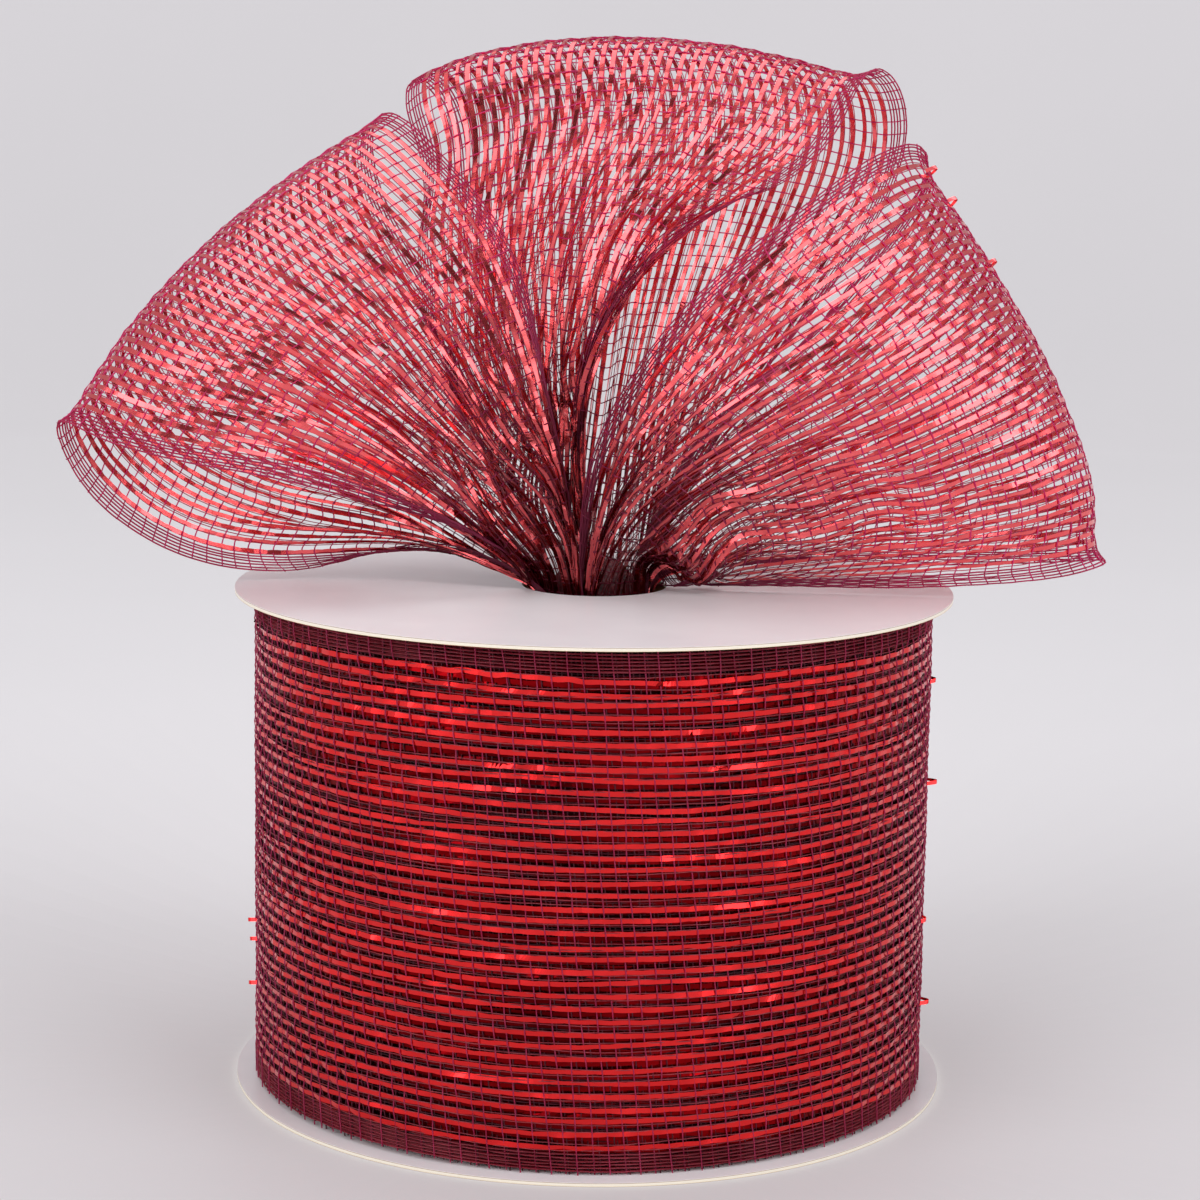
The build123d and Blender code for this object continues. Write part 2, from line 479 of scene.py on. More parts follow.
class ThreadMesh:
    """Collects threads as strips and thin tubes, then becomes one mesh."""

    def __init__(self) -> None:
        """Starts empty."""
        self.points: list[Array] = []
        self.faces: list[Array] = []
        self.uvs: list[Array] = []
        self.kinds: list[Array] = []
        self.rounds: list[Array] = []
        self.count = 0
        self.rows = 0

    def add(self, rings: Array, kind: Thread, closed: bool) -> None:
        """Adds threads whose cross-sections are given.

        Args:
            rings: points, as (threads, samples, points of the section, 3), in millimetres.
            kind: the kind of thread.
            closed: whether the last point of a section joins the first, as on a tube.
        """
        threads, samples, corners, _ = rings.shape
        sides = corners if closed else corners - 1
        number = np.arange(threads * samples * corners).reshape(threads, samples, corners) + self.count
        near, far = number[:, :-1], number[:, 1:]
        this = np.arange(sides)
        after = (this + 1) % corners
        quad = np.stack([near[..., this], near[..., after], far[..., after], far[..., this]], axis=-1)
        row = (np.arange(threads)[:, None, None] * sides + this[None, None]) + self.rows
        along = np.broadcast_to(np.arange(samples - 1)[None, :, None] / (samples - 1), quad.shape[:3])
        row = np.broadcast_to(row, quad.shape[:3])
        step = 1 / (samples - 1)
        uv = np.stack(
            [
                np.stack([along + ahead, row + side], -1)
                for ahead, side in ((0, 0.15), (0, 0.85), (step, 0.85), (step, 0.15))
            ],
            axis=-2,
        )
        self.points.append(rings.reshape(-1, 3))
        self.faces.append(quad.reshape(-1, 4))
        self.uvs.append(uv.reshape(-1, 4, 2))
        self.kinds.append(np.full(quad.size // 4, kind.value))
        self.rounds.append(np.full(quad.size // 4, closed))
        self.count += number.size
        self.rows += threads * sides

    def strips(self, centre: Array, half: Array, kind: Thread) -> None:
        """Adds flat strips by their centre lines and the vectors from there to one edge."""
        self.add(np.stack([centre - half, centre + half], axis=2), kind, False)

    def tubes(self, centre: Array, side: Array, up: Array, radius: float, kind: Thread) -> None:
        """Adds thin three-sided tubes."""
        turns = np.arange(3) * FULL_TURN / 3 + math.pi / 2
        self.tube(centre, side, up, radius, kind, turns)

    def tube(self, centre: Array, side: Array, up: Array, radius: float, kind: Thread, turns: Array) -> None:
        """Adds tubes with a corner at each of the given turns, as tubes does."""
        ring = [centre + radius * (math.cos(t) * side + math.sin(t) * up) for t in turns]
        self.add(np.stack(ring, axis=2), kind, True)

    def piece(self, name: str, materials: list[Material]) -> Piece:
        """Makes the object.

        Args:
            name: the piece's name.
            materials: its materials, in the order of Thread.

        Returns:
            The new object, linked into the scene.
        """
        points = np.concatenate(self.points) * MM
        faces = np.concatenate(self.faces)
        uvs = np.concatenate(self.uvs)
        uvs[..., 1] /= self.rows
        mesh = bpy.data.meshes.new(name)
        mesh.vertices.add(len(points))
        mesh.vertices.foreach_set("co", points.astype(np.float32).ravel())
        mesh.loops.add(faces.size)
        mesh.loops.foreach_set("vertex_index", faces.astype(np.int32).ravel())
        mesh.polygons.add(len(faces))
        mesh.polygons.foreach_set("loop_start", np.arange(0, faces.size, 4, dtype=np.int32))
        mesh.polygons.foreach_set("material_index", np.concatenate(self.kinds).astype(np.int32))
        mesh.polygons.foreach_set("use_smooth", np.concatenate(self.rounds))
        layer = mesh.uv_layers.new(name="OFBake")
        layer.data.foreach_set("uv", uvs.astype(np.float32).ravel())
        for material in materials:
            mesh.materials.append(material)
        mesh.update(calc_edges=True)
        return link(bpy.data.objects.new(name, mesh))


def claim(piece: Piece, body: Body, node: str = "") -> Piece:
    """Tells the frame what a piece belongs to.

    Args:
        piece: the piece.
        body: the body it rides on.
        node: the CAD node it replaces, if any.

    Returns:
        The same piece.
    """
    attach(piece, body.value)
    if node:
        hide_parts(node)
    return piece


def node_corners(name: str) -> tuple[Vector, Vector]:
    """Finds the lowest and highest corner of a node's box, in millimetres."""
    low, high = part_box(name)
    return Vector(low) / MM, Vector(high) / MM


def link(piece: Piece) -> Piece:
    """Links an object into the scene and gives it back."""
    bpy.context.scene.collection.objects.link(piece)
    return piece


def unit(vectors: Array) -> Array:
    """Scales vectors along the last axis to length one."""
    return vectors / np.maximum(np.linalg.norm(vectors, axis=-1, keepdims=True), 1e-9)


def drift(rng: Rng, rows: int, samples: int, reach: int, size: float) -> Array:
    """Makes smooth random wander along each of several lines.

    Args:
        rng: the seeded generator.
        rows: how many lines.
        samples: how many samples along each.
        reach: how many samples a wander takes to change.
        size: its size.

    Returns:
        The wander, as (rows, samples).
    """
    knots = rng.standard_normal((rows, samples // reach + 3)) * size
    place = np.arange(samples) / reach
    left = place.astype(int)
    share = place - left
    share = share * share * (3 - 2 * share)
    return knots[:, left] * (1 - share) + knots[:, left + 1] * share


@dataclass
class GridSurface:
    """A smooth surface through a grid of points, measured in millimetres of ribbon along and across."""

    grid: Array
    length: float
    width: float

    def at(self, along: Array, across: Array) -> Array:
        """Finds points of the surface.

        Args:
            along: distances along the ribbon.
            across: distances across it, from one selvedge.

        Returns:
            The points, with x, y, z as the last axis.
        """
        rows, columns, _ = self.grid.shape
        total = 0.0
        for values, steps, axis in ((along / self.length, rows, 0), (across / self.width, columns, 1)):
            place = values * (steps - 1)
            cell = np.clip(np.floor(place).astype(int), 0, steps - 2)
            f = (place - cell)[..., None]
            weights = (
                0.5 * (-(f**3) + 2 * f**2 - f),
                0.5 * (3 * f**3 - 5 * f**2 + 2),
                0.5 * (-3 * f**3 + 4 * f**2 + f),
                0.5 * (f**3 - f**2),
            )
            picks = [np.clip(cell + k, 0, steps - 1) for k in (-1, 0, 1, 2)]
            if axis == 0:
                lengthwise = list(zip(picks, weights))
            else:
                for i, wi in lengthwise:
                    for j, wj in zip(picks, weights):
                        total = total + self.grid[i, j] * wi * wj
        return total


@dataclass
class TurnSurface:
    """One turn of ribbon round the roll."""

    radius: float
    floor: float
    phase: float
    sag: float

    def at(self, along: Array, across: Array) -> Array:
        """Finds points of the turn, as GridSurface.at does."""
        angle = along / self.radius + self.phase
        height = across + self.sag * (np.sin(2 * angle + 0.7) + 0.5 * np.sin(5 * angle + across / 17))
        radius = self.radius + 0.12 * np.sin(7 * angle + across / 11) * np.sin(across / 9 + 3 * angle)
        return np.stack([radius * np.cos(angle), radius * np.sin(angle), self.floor + height], axis=-1)


@dataclass(frozen=True)
class Yarn:
    """How a yarn runs along the ribbon.

    It has a radius, wanders by some millimetres over some samples, and steps over the wefts by a share of the
    ribbon's own step.
    """

    kind: Thread
    radius: float
    reach: int
    wander: float
    step: float


WARP = Yarn(Thread.WARP, 0.12, 11, 0.14, 0.8)
SELVEDGE = Yarn(Thread.SELVEDGE, 0.2, 5, 0.05, 0.9)


@dataclass
class MeshRibbon:
    """The woven ribbon: foil strips and fine filaments run along it, and monofilament wefts cross them."""

    width: float = 100.0
    foil_rows: int = 38
    foil_width: float = 1.0
    wander: float = 0.16
    selvedge_threads: int = 6
    selvedge_pitch: float = 0.66
    selvedge_gap: float = 1.1
    row_scatter: float = 0.07
    weft_pitch: float = 2.9
    weft_radius: float = 0.165
    weft_scatter: float = 0.06
    rise: float = 0.1
    picot: float = 0.5
    picot_scatter: float = 0.22
    foil_roll: float = 0.045
    foil_lean: float = 1.5
    foil_pinch: float = 0.16
    foil_uneven: float = 0.07
    skew: float = 0.0
    samples: int = 4
    row_shift: float = 0.0
    crumples: float = 0.0
    snags: tuple = ()
    snag_span: float = 2.2

    def frame(self, surface: object, along: Array, across: Array) -> tuple:
        """Finds points of a surface, with the directions there.

        Args:
            surface: what the ribbon lies on.
            along: distances along the ribbon.
            across: distances across it.

        Returns:
            Points, unit vectors along, unit vectors across, and unit normals.
        """
        step = 0.25
        here = surface.at(along, across)
        ahead = unit(surface.at(along + step, across) - surface.at(along - step, across))
        aside = unit(surface.at(along, across + step) - surface.at(along, across - step))
        return here, ahead, aside, unit(np.cross(ahead, aside))

    def weave(self, name: str, surface: object, length: float, seed: int, materials: list) -> Piece:
        """Weaves a length of ribbon on a surface.

        Args:
            name: the piece's name.
            surface: what the ribbon lies on.
            length: its length.
            seed: the seed of its small unevenness.
            materials: the ribbon's materials.

        Returns:
            The woven piece.
        """
        rng = np.random.default_rng(seed)
        threads = ThreadMesh()
        edge = self.selvedge_threads * self.selvedge_pitch + self.selvedge_gap
        rows = np.linspace(edge, self.width - edge, self.foil_rows)
        rows = rows + self.row_shift + rng.normal(0, self.row_scatter, self.foil_rows)
        self.lay_foils(threads, surface, length, rows, rng)
        beside = np.concatenate([rows + self.foil_width / 2 + 0.14, rows[::2] - self.foil_width / 2 - 0.2])
        self.lay_yarns(threads, surface, length, beside, rng, WARP)
        inner = np.arange(self.selvedge_threads) * self.selvedge_pitch + SELVEDGE.radius
        self.lay_yarns(threads, surface, length, np.concatenate([inner, self.width - inner]), rng, SELVEDGE)
        self.lay_wefts(threads, surface, length, rows, rng)
        self.lay_snags(threads, surface)
        return threads.piece(name, materials)

    def lay_snags(self, threads: ThreadMesh, surface: object) -> None:
        """Stands short loops of pulled foil up from the surface.

        Args:
            threads: the mesh that takes them.
            surface: what the ribbon lies on.
        """
        share = np.linspace(0, 1, 9)[None]
        arch = np.sin(math.pi * share)[..., None]
        for along, across, height in self.snags:
            place = along + (share - 0.5) * self.snag_span
            here, ahead, aside, up = self.frame(surface, place, across + 0.5 * share)
            turned = unit(aside + 0.6 * ahead * np.cos(3 * share)[..., None])
            threads.strips(here + up * arch * height, turned * self.foil_width * 0.4, Thread.FOIL)

    def lay_foils(self, threads: ThreadMesh, surface: object, length: float, rows: Array, rng: Rng) -> None:
        """Lays the foil strips, which step over one weft and under the next in straight flats.

        Args:
            threads: the mesh that takes them.
            surface: what the ribbon lies on.
            length: the ribbon's length.
            rows: the foils' places across the ribbon.
            rng: the seeded generator.
        """
        count = int(length / self.weft_pitch) * self.samples + 1

        def vary(wefts: int, size: float) -> Array:
            """Gives each foil a wander that takes some wefts to change."""
            return drift(rng, len(rows), count, wefts * self.samples, size)

        along = np.broadcast_to(np.linspace(0, length, count), (len(rows), count))
        across = rows[:, None] + vary(9, self.wander)
        across = across + self.crumple(vary(7, 1.0)) * vary(1, 0.12)
        here, _, aside, up = self.frame(surface, along, across)
        reach = self.weft_pitch / 2
        spread = surface.at(along, across + reach) - surface.at(along, across - reach)
        gathered = np.clip(1 - np.linalg.norm(spread, axis=-1) / (2 * reach), 0, 0.9)
        wave = 1 - 2 * np.abs((along / self.weft_pitch + np.arange(len(rows))[:, None]) % 2 - 1)
        roll = vary(5, self.foil_roll)
        roll = roll + vary(1, self.foil_roll * 0.6)
        roll = roll + self.crumple(vary(7, 1.0)) * vary(1, 0.5)
        lean = rng.choice([-1, 1], (len(rows), 1)) + vary(8, 0.5)
        roll = roll + self.foil_lean * gathered * lean
        lift = wave * self.rise * (1 + vary(3, 0.35))
        pinch = 1 - self.foil_pinch * np.abs(wave) ** 3 + vary(2, self.foil_uneven)
        half = (aside * np.cos(roll)[..., None] + up * np.sin(roll)[..., None]) * self.foil_width / 2
        threads.strips(here + up * lift[..., None], half * pinch[..., None], Thread.FOIL)

    def crumple(self, chance: Array) -> Array:
        """Picks where foils are crumpled, most in the top two rows, from smooth random values."""
        worn = np.where(np.arange(len(chance)) >= len(chance) - 2, 1.2, 0.0)[:, None]
        return self.crumples * np.clip(chance + worn - 1.5, 0, 1)

    def lay_yarns(
        self, threads: ThreadMesh, surface: object, length: float, places: Array, rng: Rng, yarn: Yarn
    ) -> None:
        """Lays yarns at some places across the ribbon, as lay_foils does.

        Args:
            threads: the mesh that takes them.
            surface: what the ribbon lies on.
            length: the ribbon's length.
            places: the yarns' places across the ribbon.
            rng: the seeded generator.
            yarn: how they run.
        """
        count = int(length / self.weft_pitch) * 2 + 1
        along = np.broadcast_to(np.linspace(0, length, count), (len(places), count))
        across = places[:, None] + drift(rng, len(places), count, yarn.reach, yarn.wander)
        here, _, aside, up = self.frame(surface, along, across)
        phase = along / self.weft_pitch + np.arange(len(places))[:, None]
        lift = np.cos(math.pi * phase) * self.rise * yarn.step
        threads.tubes(here + up * lift[..., None], aside, up, yarn.radius, yarn.kind)

    def lay_wefts(self, threads: ThreadMesh, surface: object, length: float, rows: Array, rng: Rng) -> None:
        """Lays the wefts from selvedge to selvedge, with their ends left proud as picots.

        Args:
            threads: the mesh that takes them.
            surface: what the ribbon lies on.
            length: the ribbon's length.
            rows: the foils' places across the ribbon.
            rng: the seeded generator.
        """
        wefts = int(length / self.weft_pitch)
        inner = np.arange(0, self.selvedge_threads, 2) * self.selvedge_pitch + SELVEDGE.radius
        middle = np.sort(np.concatenate([rows, (rows[1:] + rows[:-1]) / 2]))
        places = [[-self.picot], inner, middle, self.width - inner[::-1], [self.width + self.picot]]
        across = np.concatenate(places)
        across = np.broadcast_to(across, (wefts, len(across))).copy()
        for end in (0, -1):
            across[:, end] += rng.normal(0, self.picot_scatter, wefts)
        start = (np.arange(wefts) + 0.5) * self.weft_pitch
        along = start[:, None] + drift(rng, wefts, across.shape[1], 12, 0.22)
        along = along + self.skew * (self.width / 2 - across)
        along = along + rng.normal(0, self.weft_scatter, (wefts, 1))
        here, ahead, _, up = self.frame(surface, np.clip(along, 0.3, length - 0.3), across)
        number = np.zeros(across.shape[1])
        number[1 + len(inner) : 1 + len(inner) + len(middle)] = np.arange(len(middle)) / 2
        phase = number[None] + np.arange(wefts)[:, None]
        lift = -np.cos(math.pi * phase) * (self.rise + 0.06)
        threads.tubes(here + up * lift[..., None], ahead, up, self.weft_radius, Thread.WEFT)


def spaced(line: Array, count: int) -> tuple[Array, float]:
    """Spaces points evenly along a line."""
    run = np.concatenate([[0], np.cumsum(np.linalg.norm(np.diff(line, axis=0), axis=1))])
    even = np.linspace(0, run[-1], count)
    return np.stack([np.interp(even, run, line[:, k]) for k in range(3)], axis=1), run[-1]


def smooth_line(points: list, count: int) -> tuple[Array, float]:
    """Runs a smooth line through points.

    Args:
        points: the points, in order.
        count: how many samples to give.

    Returns:
        Evenly spaced samples, and the line's length.
    """
    p = np.asarray(points, float)
    p = np.vstack([2 * p[0] - p[1], p, 2 * p[-1] - p[-2]])
    place = np.linspace(0, len(p) - 3 - 1e-9, 40 * len(p))
    i = place.astype(int)
    f = (place - i)[:, None]
    a, b, c, d = p[i], p[i + 1], p[i + 2], p[i + 3]
    line = 0.5 * (2 * b + (c - a) * f + (2 * a - 5 * b + 4 * c - d) * f**2 + (3 * b - a - 3 * c + d) * f**3)
    return spaced(line, count)


@dataclass
class Rail:
    """One line of a loop from the neck out to the crest and back, in millimetres."""

    out: list
    back: list

    def line(self, neck: "NeckShape", half: int) -> tuple[Array, float]:
        """Samples the rail, with its crest at the middle sample.

        Args:
            neck: the neck that both ends run down into.
            half: how many samples each half has.

        Returns:
            The samples, and the rail's length.
        """
        points = neck.descent(self.out[0])[::-1] + self.out + self.back + neck.descent(self.back[-1])
        fine = 2000
        line, length = smooth_line(points, fine)
        crest = int(np.argmin(np.linalg.norm(line - np.array(self.out[-1]), axis=1)))
        picks = np.concatenate([np.linspace(0, crest, half), np.linspace(crest, fine - 1, half + 1)[1:]])
        return np.stack([np.interp(picks, np.arange(fine), line[:, k]) for k in range(3)], axis=1), length


@dataclass
class NeckShape:
    """The gather under the loops: how it narrows from the hole down to the tie."""

    flange_top: float
    waist: float
    hole_share: float = 0.92
    waist_share: float = 0.7
    hole_radius: float = 14.2
    waist_radius: float = 10.6

    def descent(self, point: tuple) -> list:
        """Carries a point above the hole down to the hole and the waist."""
        x, y, _ = point
        return [
            (x * self.hole_share, y * self.hole_share, self.flange_top - 3),
            (x * self.waist_share, y * self.waist_share, self.waist),
        ]

    def squeeze(self, grid: Array) -> None:
        """Keeps points inside the hole and the neck, and above the flange elsewhere.

        Args:
            grid: the points, changed in place.
        """
        reach = np.hypot(grid[..., 0], grid[..., 1])
        on_flange = (reach > self.hole_radius - 0.3) & (grid[..., 2] > self.flange_top - 4)
        lowest = self.flange_top + 0.55
        grid[..., 2] = np.where(on_flange & (grid[..., 2] < lowest), lowest, grid[..., 2])
        allowed = np.interp(
            grid[..., 2],
            [self.waist, self.flange_top - 1, self.flange_top + 1, self.flange_top + 6],
            [self.waist_radius, self.hole_radius, self.hole_radius, 400],
        )
        share = np.minimum(1, allowed / np.maximum(reach, 1e-6))
        grid[..., 0] *= share
        grid[..., 1] *= share


@dataclass
class RibbonLoop:
    """One loop of the bow: three rails give its set, and the ribbon's fixed width and length do the rest."""

    name: str
    upper: Rail
    middle: Rail
    lower: Rail
    neck: NeckShape
    ribbon: MeshRibbon
    seed: int
    pleats: float = 6.0
    edge_folds: float = 1.5
    edge_share: float = 0.4
    rounds: int = 260
    columns: int = 65
    half_rows: int = 50
    calm_rounds: int = 24
    calm_shares: tuple = ((0.25, 0.2), (-0.26, -0.2))
    hold: float = 0.02
    edge_hold: float = 0.1
    edge_depth: float = 5.0
    neck_depth: float = 2.4
    scatter: float = 0.02
    opens_from: float = 0.1
    opens_over: float = 0.3
    full_spare: float = 0.4
    held_rows: int = 3
    least_places: tuple = (0, 0.2, 0.5)
    least_shares: tuple = (0.15, 0.5, 0.95)
    pulls: tuple = ((1, 0.98, 1.0), (2, 0.96, 0.9))

    def guide(self) -> tuple[Array, float]:
        """Spans the three rails with one curved surface.

        Returns:
            A fine grid of points, evenly spaced across each row, and the mean length of the rails.
        """
        lines = [rail.line(self.neck, self.half_rows) for rail in (self.upper, self.middle, self.lower)]
        first, second, third = (line[:, None] for line, _ in lines)
        v = np.linspace(0, 1, 4 * self.columns)[None, :, None]
        grid = first * (1 - v) * (1 - 2 * v) + second * 4 * v * (1 - v) + third * v * (2 * v - 1)
        even = np.stack([spaced(row, len(row))[0] for row in grid])
        return even, sum(length for _, length in lines) / 3

    def pleated(self, fine: Array, rng: Rng) -> tuple[Array, Array]:
        """Lays the ribbon on the guide, flat in its middle and folded up beside both selvedges.

        Near the neck the whole width is folded instead.

        Args:
            fine: the fine grid of the guide.
            rng: the seeded generator.

        Returns:
            The grid laid flat on the guide, and the folded grid.
        """
        rows = len(fine)
        span = np.linalg.norm(np.diff(fine, axis=1), axis=2).sum(axis=1)
        spare = np.maximum(self.ribbon.width / span, 1.0)[:, None]
        along = np.linspace(0, 1, rows)[:, None]
        outward = np.minimum(along, 1 - along) * 2
        opened = np.clip((outward - self.opens_from) / self.opens_over, 0, 1)
        flat_span = 1 - self.edge_share * np.clip((spare - 1) / self.full_spare, 0, 1) * opened
        flat_spare = 1 + (spare - 1) * (1 - opened)
        flat_share = np.minimum(flat_span / flat_spare, 0.999)
        across = np.linspace(-1, 1, self.columns)[None]
        beyond = np.clip((np.abs(across) - flat_share) / (1 - flat_share), 0, 1)
        inside = np.minimum(np.abs(across), flat_share) * flat_span / flat_share
        place = 0.5 + 0.5 * np.sign(across) * (inside + beyond * (1 - flat_span))
        column = place * (fine.shape[1] - 1)
        left = np.clip(column.astype(int), 0, fine.shape[1] - 2)
        part = (column - left)[..., None]
        row = np.arange(rows)[:, None]
        base = fine[row, left] * (1 - part) + fine[row, left + 1] * part
        normal = unit(np.cross(np.gradient(base, axis=0), np.gradient(base, axis=1) + 1e-6))
        edge_spare = (1 - flat_share) * self.ribbon.width / np.maximum((1 - flat_span) * span[:, None], 3.0)
        edge_height = np.sqrt(2 * np.maximum(edge_spare**2 - 1, 0)) * (1 - flat_span) / 2 * span[:, None]
        edge_turn = FULL_TURN * self.edge_folds
        edge_height = np.minimum(edge_height / edge_turn, self.edge_depth)
        edge_fold = np.sin(edge_turn * beyond) * edge_height * opened
        neck_height = np.sqrt(2 * np.maximum(flat_spare**2 - 1, 0)) * span[:, None]
        neck_height = neck_height / (FULL_TURN * self.pleats)
        start = rng.uniform(0, 6.28)
        neck_fold = np.sin(math.pi * self.pleats * across + start) * np.minimum(neck_height, self.neck_depth)
        fold = edge_fold + neck_fold + rng.normal(0, self.scatter, base.shape[:2])
        return base, base + normal * fold[..., None]

    def pull(self, grid: Array, axis: int, step: int, rest: float, least: Array | float) -> Array:
        """Moves neighbours back to the distance that the cloth allows.

        Args:
            grid: the points.
            axis: 0 along the ribbon, 1 across it.
            step: how many points apart the neighbours are.
            rest: their distance in flat ribbon.
            least: the least share of that distance, for each row.

        Returns:
            The moved points.
        """
        points = np.moveaxis(grid, axis, 0)
        for start in range(2 * step):
            low = np.arange(start, points.shape[0] - step, 2 * step)
            a = points[low]
            b = points[low + step]
            gap = b - a
            size = np.linalg.norm(gap, axis=2, keepdims=True)
            floor = rest * least
            wrong = np.where(size > rest, size - rest, np.where(size < floor, size - floor, 0))
            move = wrong / np.maximum(size, 1e-6) * 0.5 * gap
            points[low] = a + move
            points[low + step] = b - move
        return np.moveaxis(points, 0, axis)

    def smooth(self, grid: Array, along: float, across: float) -> None:
        """Moves points towards the middle of their neighbours, or away by a negative share."""
        grid[1:-1] += along * (grid[2:] + grid[:-2] - 2 * grid[1:-1])
        grid[:, 1:-1] += across * (grid[:, 2:] + grid[:, :-2] - 2 * grid[:, 1:-1])

    def relax(self) -> GridSurface:
        """Lets the pleated ribbon settle at its own width and length.

        Returns:
            The settled surface.
        """
        rng = np.random.default_rng(self.seed)
        fine, length = self.guide()
        guide, grid = self.pleated(fine, rng)
        rows, columns, _ = grid.shape
        along_rest = length / (rows - 1)
        across_rest = self.ribbon.width / (columns - 1)
        where = np.linspace(0, 1, rows)
        outward = np.minimum(where, 1 - where) * 2
        least = np.interp(outward, self.least_places, self.least_shares)[None, :, None]
        held = np.zeros((rows, columns, 1))
        held[: self.held_rows] = held[-self.held_rows :] = 1
        edge = np.zeros((1, columns, 1))
        edge[:, [0, -1]] = 1
        start = grid.copy()
        for turn in range(self.rounds):
            left = 1 - turn / self.rounds
            grid = grid + (guide - grid) * (self.hold * left + edge * (self.edge_hold * left + self.hold))
            for step, along_least, across_share in self.pulls:
                grid = self.pull(grid, 0, step, step * along_rest, along_least)
                grid = self.pull(grid, 1, step, step * across_rest, least * across_share)
            if turn % 3 == 0:
                self.smooth(grid, *self.calm_shares[0])
            self.neck.squeeze(grid)
            grid = grid * (1 - held) + start * held
        for turn in range(self.calm_rounds):
            self.smooth(grid, *self.calm_shares[turn % 2])
        self.neck.squeeze(grid)
        return GridSurface(grid, length, self.ribbon.width)

    def build(self, finishes: Finishes) -> Piece:
        """Weaves the loop and places it on the bow.

        Args:
            finishes: the part's finishes.

        Returns:
            The woven loop.
        """
        surface = self.relax()
        name = f"{self.name}_ribbon"
        piece = self.ribbon.weave(name, surface, surface.length, self.seed, finishes.lit_loose_set())
        claim(piece, Body.BOW, self.name)
        log.info("%s: %.0f mm of ribbon", self.name, surface.length)
        return piece


def revolved(name: str, profile: list, sides: int, flutes: int = 0, depth: float = 0.0) -> Piece:
    """Turns a closed profile round the Z axis.

    Args:
        name: the piece's name.
        profile: (radius, height) points in millimetres, in order round the section.
        sides: how many steps the turn has.
        flutes: how many pleats run up it, or none.
        depth: the pleats' depth as a share of the radius.

    Returns:
        The new object.
    """
    angle = np.arange(sides) * 2 * math.pi / sides
    ring = 1 + depth * np.cos(flutes * angle) if flutes else np.ones(sides)
    section = np.array(profile, float)
    points = np.stack(
        [
            np.outer(ring * np.cos(angle), section[:, 0]),
            np.outer(ring * np.sin(angle), section[:, 0]),
            np.broadcast_to(section[:, 1], (sides, len(section))),
        ],
        axis=-1,
    )
    corners = len(section)
    faces = []
    for i in range(sides):
        for j in range(corners):
            k = (j + 1) % corners
            n = (i + 1) % sides
            faces.append((i * corners + j, n * corners + j, n * corners + k, i * corners + k))
    mesh = bpy.data.meshes.new(name)
    mesh.from_pydata((points.reshape(-1, 3) * MM).tolist(), [], faces)
    mesh.update()
    for polygon in mesh.polygons:
        polygon.use_smooth = True
    return link(bpy.data.objects.new(name, mesh))


# Each loop's seed and three rails, from the upper selvedge to the lower one.
LOOP_RAILS = {
    "rear_loop": (
        8,
        Rail(
            [(-6, 2, 106), (-20, 8, 123), (-31, 12, 143), (-36, 14, 165), (-37, 17, 187), (-42, 28, 204)],
            [(-36, 42, 199), (-32, 46, 183), (-27, 42, 160), (-18, 30, 135), (-5, 10, 106)],
        ),
        Rail(
            [(-3, 3, 106), (-6, 6, 130), (-2, 8, 160), (0, 12, 190), (0, 30, 219)],
            [(2, 46, 206), (2, 48, 180), (1, 36, 145), (1, 11, 106)],
        ),
        Rail(
            [(0, 1, 106), (-6, 6, 130), (-7, 5, 146), (-2, 6, 162), (8, 8, 174), (19, 10, 181),
             (35, 12, 184), (48, 16, 190), (53, 26, 203), (58, 38, 213)],
            [(70, 48, 207), (73, 58, 192), (54, 52, 165), (28, 34, 135), (9, 9, 106)],
        ),
    ),
    "left_loop": (
        3,
        Rail(
            [(-3, -11, 106), (-6, -12, 126), (-13, -7, 156), (-25, 2, 182), (-44, 15, 200)],
            [(-48, 30, 186), (-36, 34, 160), (-20, 22, 130), (-9, 6, 106)],
        ),
        Rail(
            [(-8, -9, 106), (-24, -18, 126), (-45, -25, 145), (-66, -22, 162), (-81, -6, 173)],
            [(-80, 12, 160), (-62, 20, 140), (-34, 12, 116), (-12, -2, 105)],
        ),
        Rail(
            [(-12, -5, 105), (-22, -20, 115), (-40, -30, 124), (-60, -37, 131), (-80, -39, 133),
             (-98, -36, 136), (-107, -28, 141)],
            [(-105, -16, 124), (-92, -6, 110.5), (-78, -1, 105.5), (-65, 3, 105), (-52, 5, 107),
             (-40, 6, 110.5), (-31, 3, 112), (-20, -4, 108.5), (-8, -11, 104.5)],
        ),
    ),
    "right_loop": (
        5,
        Rail(
            [(-3, -12, 106), (-4, -15, 118), (-3, -20, 133), (2, -24, 143), (10, -26, 154),
             (20, -27, 166), (34, -24, 177), (45, -18, 186), (54, -9, 193), (65, 5, 197)],
            [(69, 16, 188), (57, 25, 168), (43, 28, 150), (28, 25, 139), (17, 14, 122), (8, 5, 106)],
        ),
        Rail(
            [(5, -12, 106), (7, -20, 119), (13, -27, 132), (24, -32, 142), (38, -34, 148), (56, -31, 151),
             (73, -23, 153), (89, -6, 158)],
            [(84, 14, 150), (60, 26, 136), (32, 20, 120), (11, 6, 106)],
        ),
        Rail(
            [(13, -4, 106), (26, -9, 104.6), (42, -10, 104.4), (63, -10, 104.8), (80, -12, 106),
             (95, -12, 107.5), (108, -5, 110.5)],
            [(104, 12, 108), (92, 28, 105.5), (75, 38, 104.8), (60, 40, 105), (42, 30, 104.8),
             (25, 15, 104.8), (12, 4, 104.8)],
        ),
    ),
}


